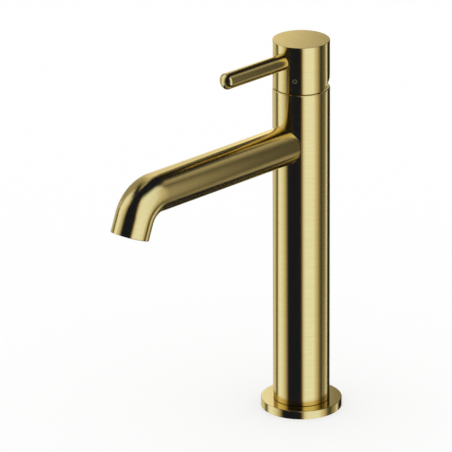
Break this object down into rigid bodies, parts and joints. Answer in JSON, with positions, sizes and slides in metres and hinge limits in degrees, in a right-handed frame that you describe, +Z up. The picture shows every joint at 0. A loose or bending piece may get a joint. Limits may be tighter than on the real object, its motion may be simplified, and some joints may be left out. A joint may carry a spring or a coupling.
{
  "type": "bathroom mixer faucet",
  "caption": "Tall single-lever basin mixer faucet: round column on a disc flange, straight tube spout with a turned-down outlet, tilting and turning cylinder head with a rod lever.",
  "frame": {"origin": "centre of the base flange's underside, on the column's axis", "axes": "+Z up along the column, -Y towards the user, along the spout and the closed lever; +X is the cold side"},
  "size_m": [0.06, 0.2186, 0.286],
  "materials": {
    "brushed_gold": "brushed, gold coated",
    "machined_brass": "turned",
    "black_rubber": "matte",
    "grey_acetal": "moulded",
    "white_acetal": "moulded",
    "white_ceramic": "lapped",
    "bright_steel": "ground",
    "black_plastic": "moulded",
    "pale_plastic": "moulded"
  },
  "bodies": {
    "body": {"base_flange": "brushed_gold", "base_gasket": "black_rubber", "mounting_foot": "machined_brass", "foot_o_ring": "black_rubber", "faucet_body": "brushed_gold", "valve_block": "machined_brass", "block_o_rings": "black_rubber", "cartridge_base": "grey_acetal", "port_seals": "black_rubber", "fixed_disc": "white_ceramic", "cartridge_housing": "grey_acetal", "cartridge_nut": "machined_brass", "cover_dome": "brushed_gold", "aerator_shell": "black_plastic", "aerator_insert": "pale_plastic", "aerator_screen": "pale_plastic", "aerator_washer": "black_rubber"},
    "turret": {"stem_turret": "white_acetal", "turret_o_ring": "black_rubber", "pivot_pin": "bright_steel"},
    "slider": {"disc_carrier": "white_acetal", "moving_disc": "white_ceramic"},
    "handle": {"head_shell": "brushed_gold", "lever_arm": "brushed_gold", "stem": "machined_brass", "stem_set_screw": "bright_steel"}
  },
  "joints": [
    {"name": "temperature_turn", "type": "hinge", "parent": "body", "child": "turret", "pos_m": [0, 0, 0.248], "axis": [0, 0, 1], "range_deg": [-50, 50]},
    {"name": "flow_lift", "type": "hinge", "parent": "turret", "child": "handle", "pos_m": [0, 0, 0.248], "axis": [-1, 0, 0], "range_deg": [0, 25]},
    {"name": "disc_slide", "type": "slide", "parent": "turret", "child": "slider", "axis": [0, -1, 0], "range_m": [0, 0.005]}
  ],
  "couplings": [
    {"joint": "disc_slide", "follows": "flow_lift", "m_per_rad": 0.011429}
  ]
}
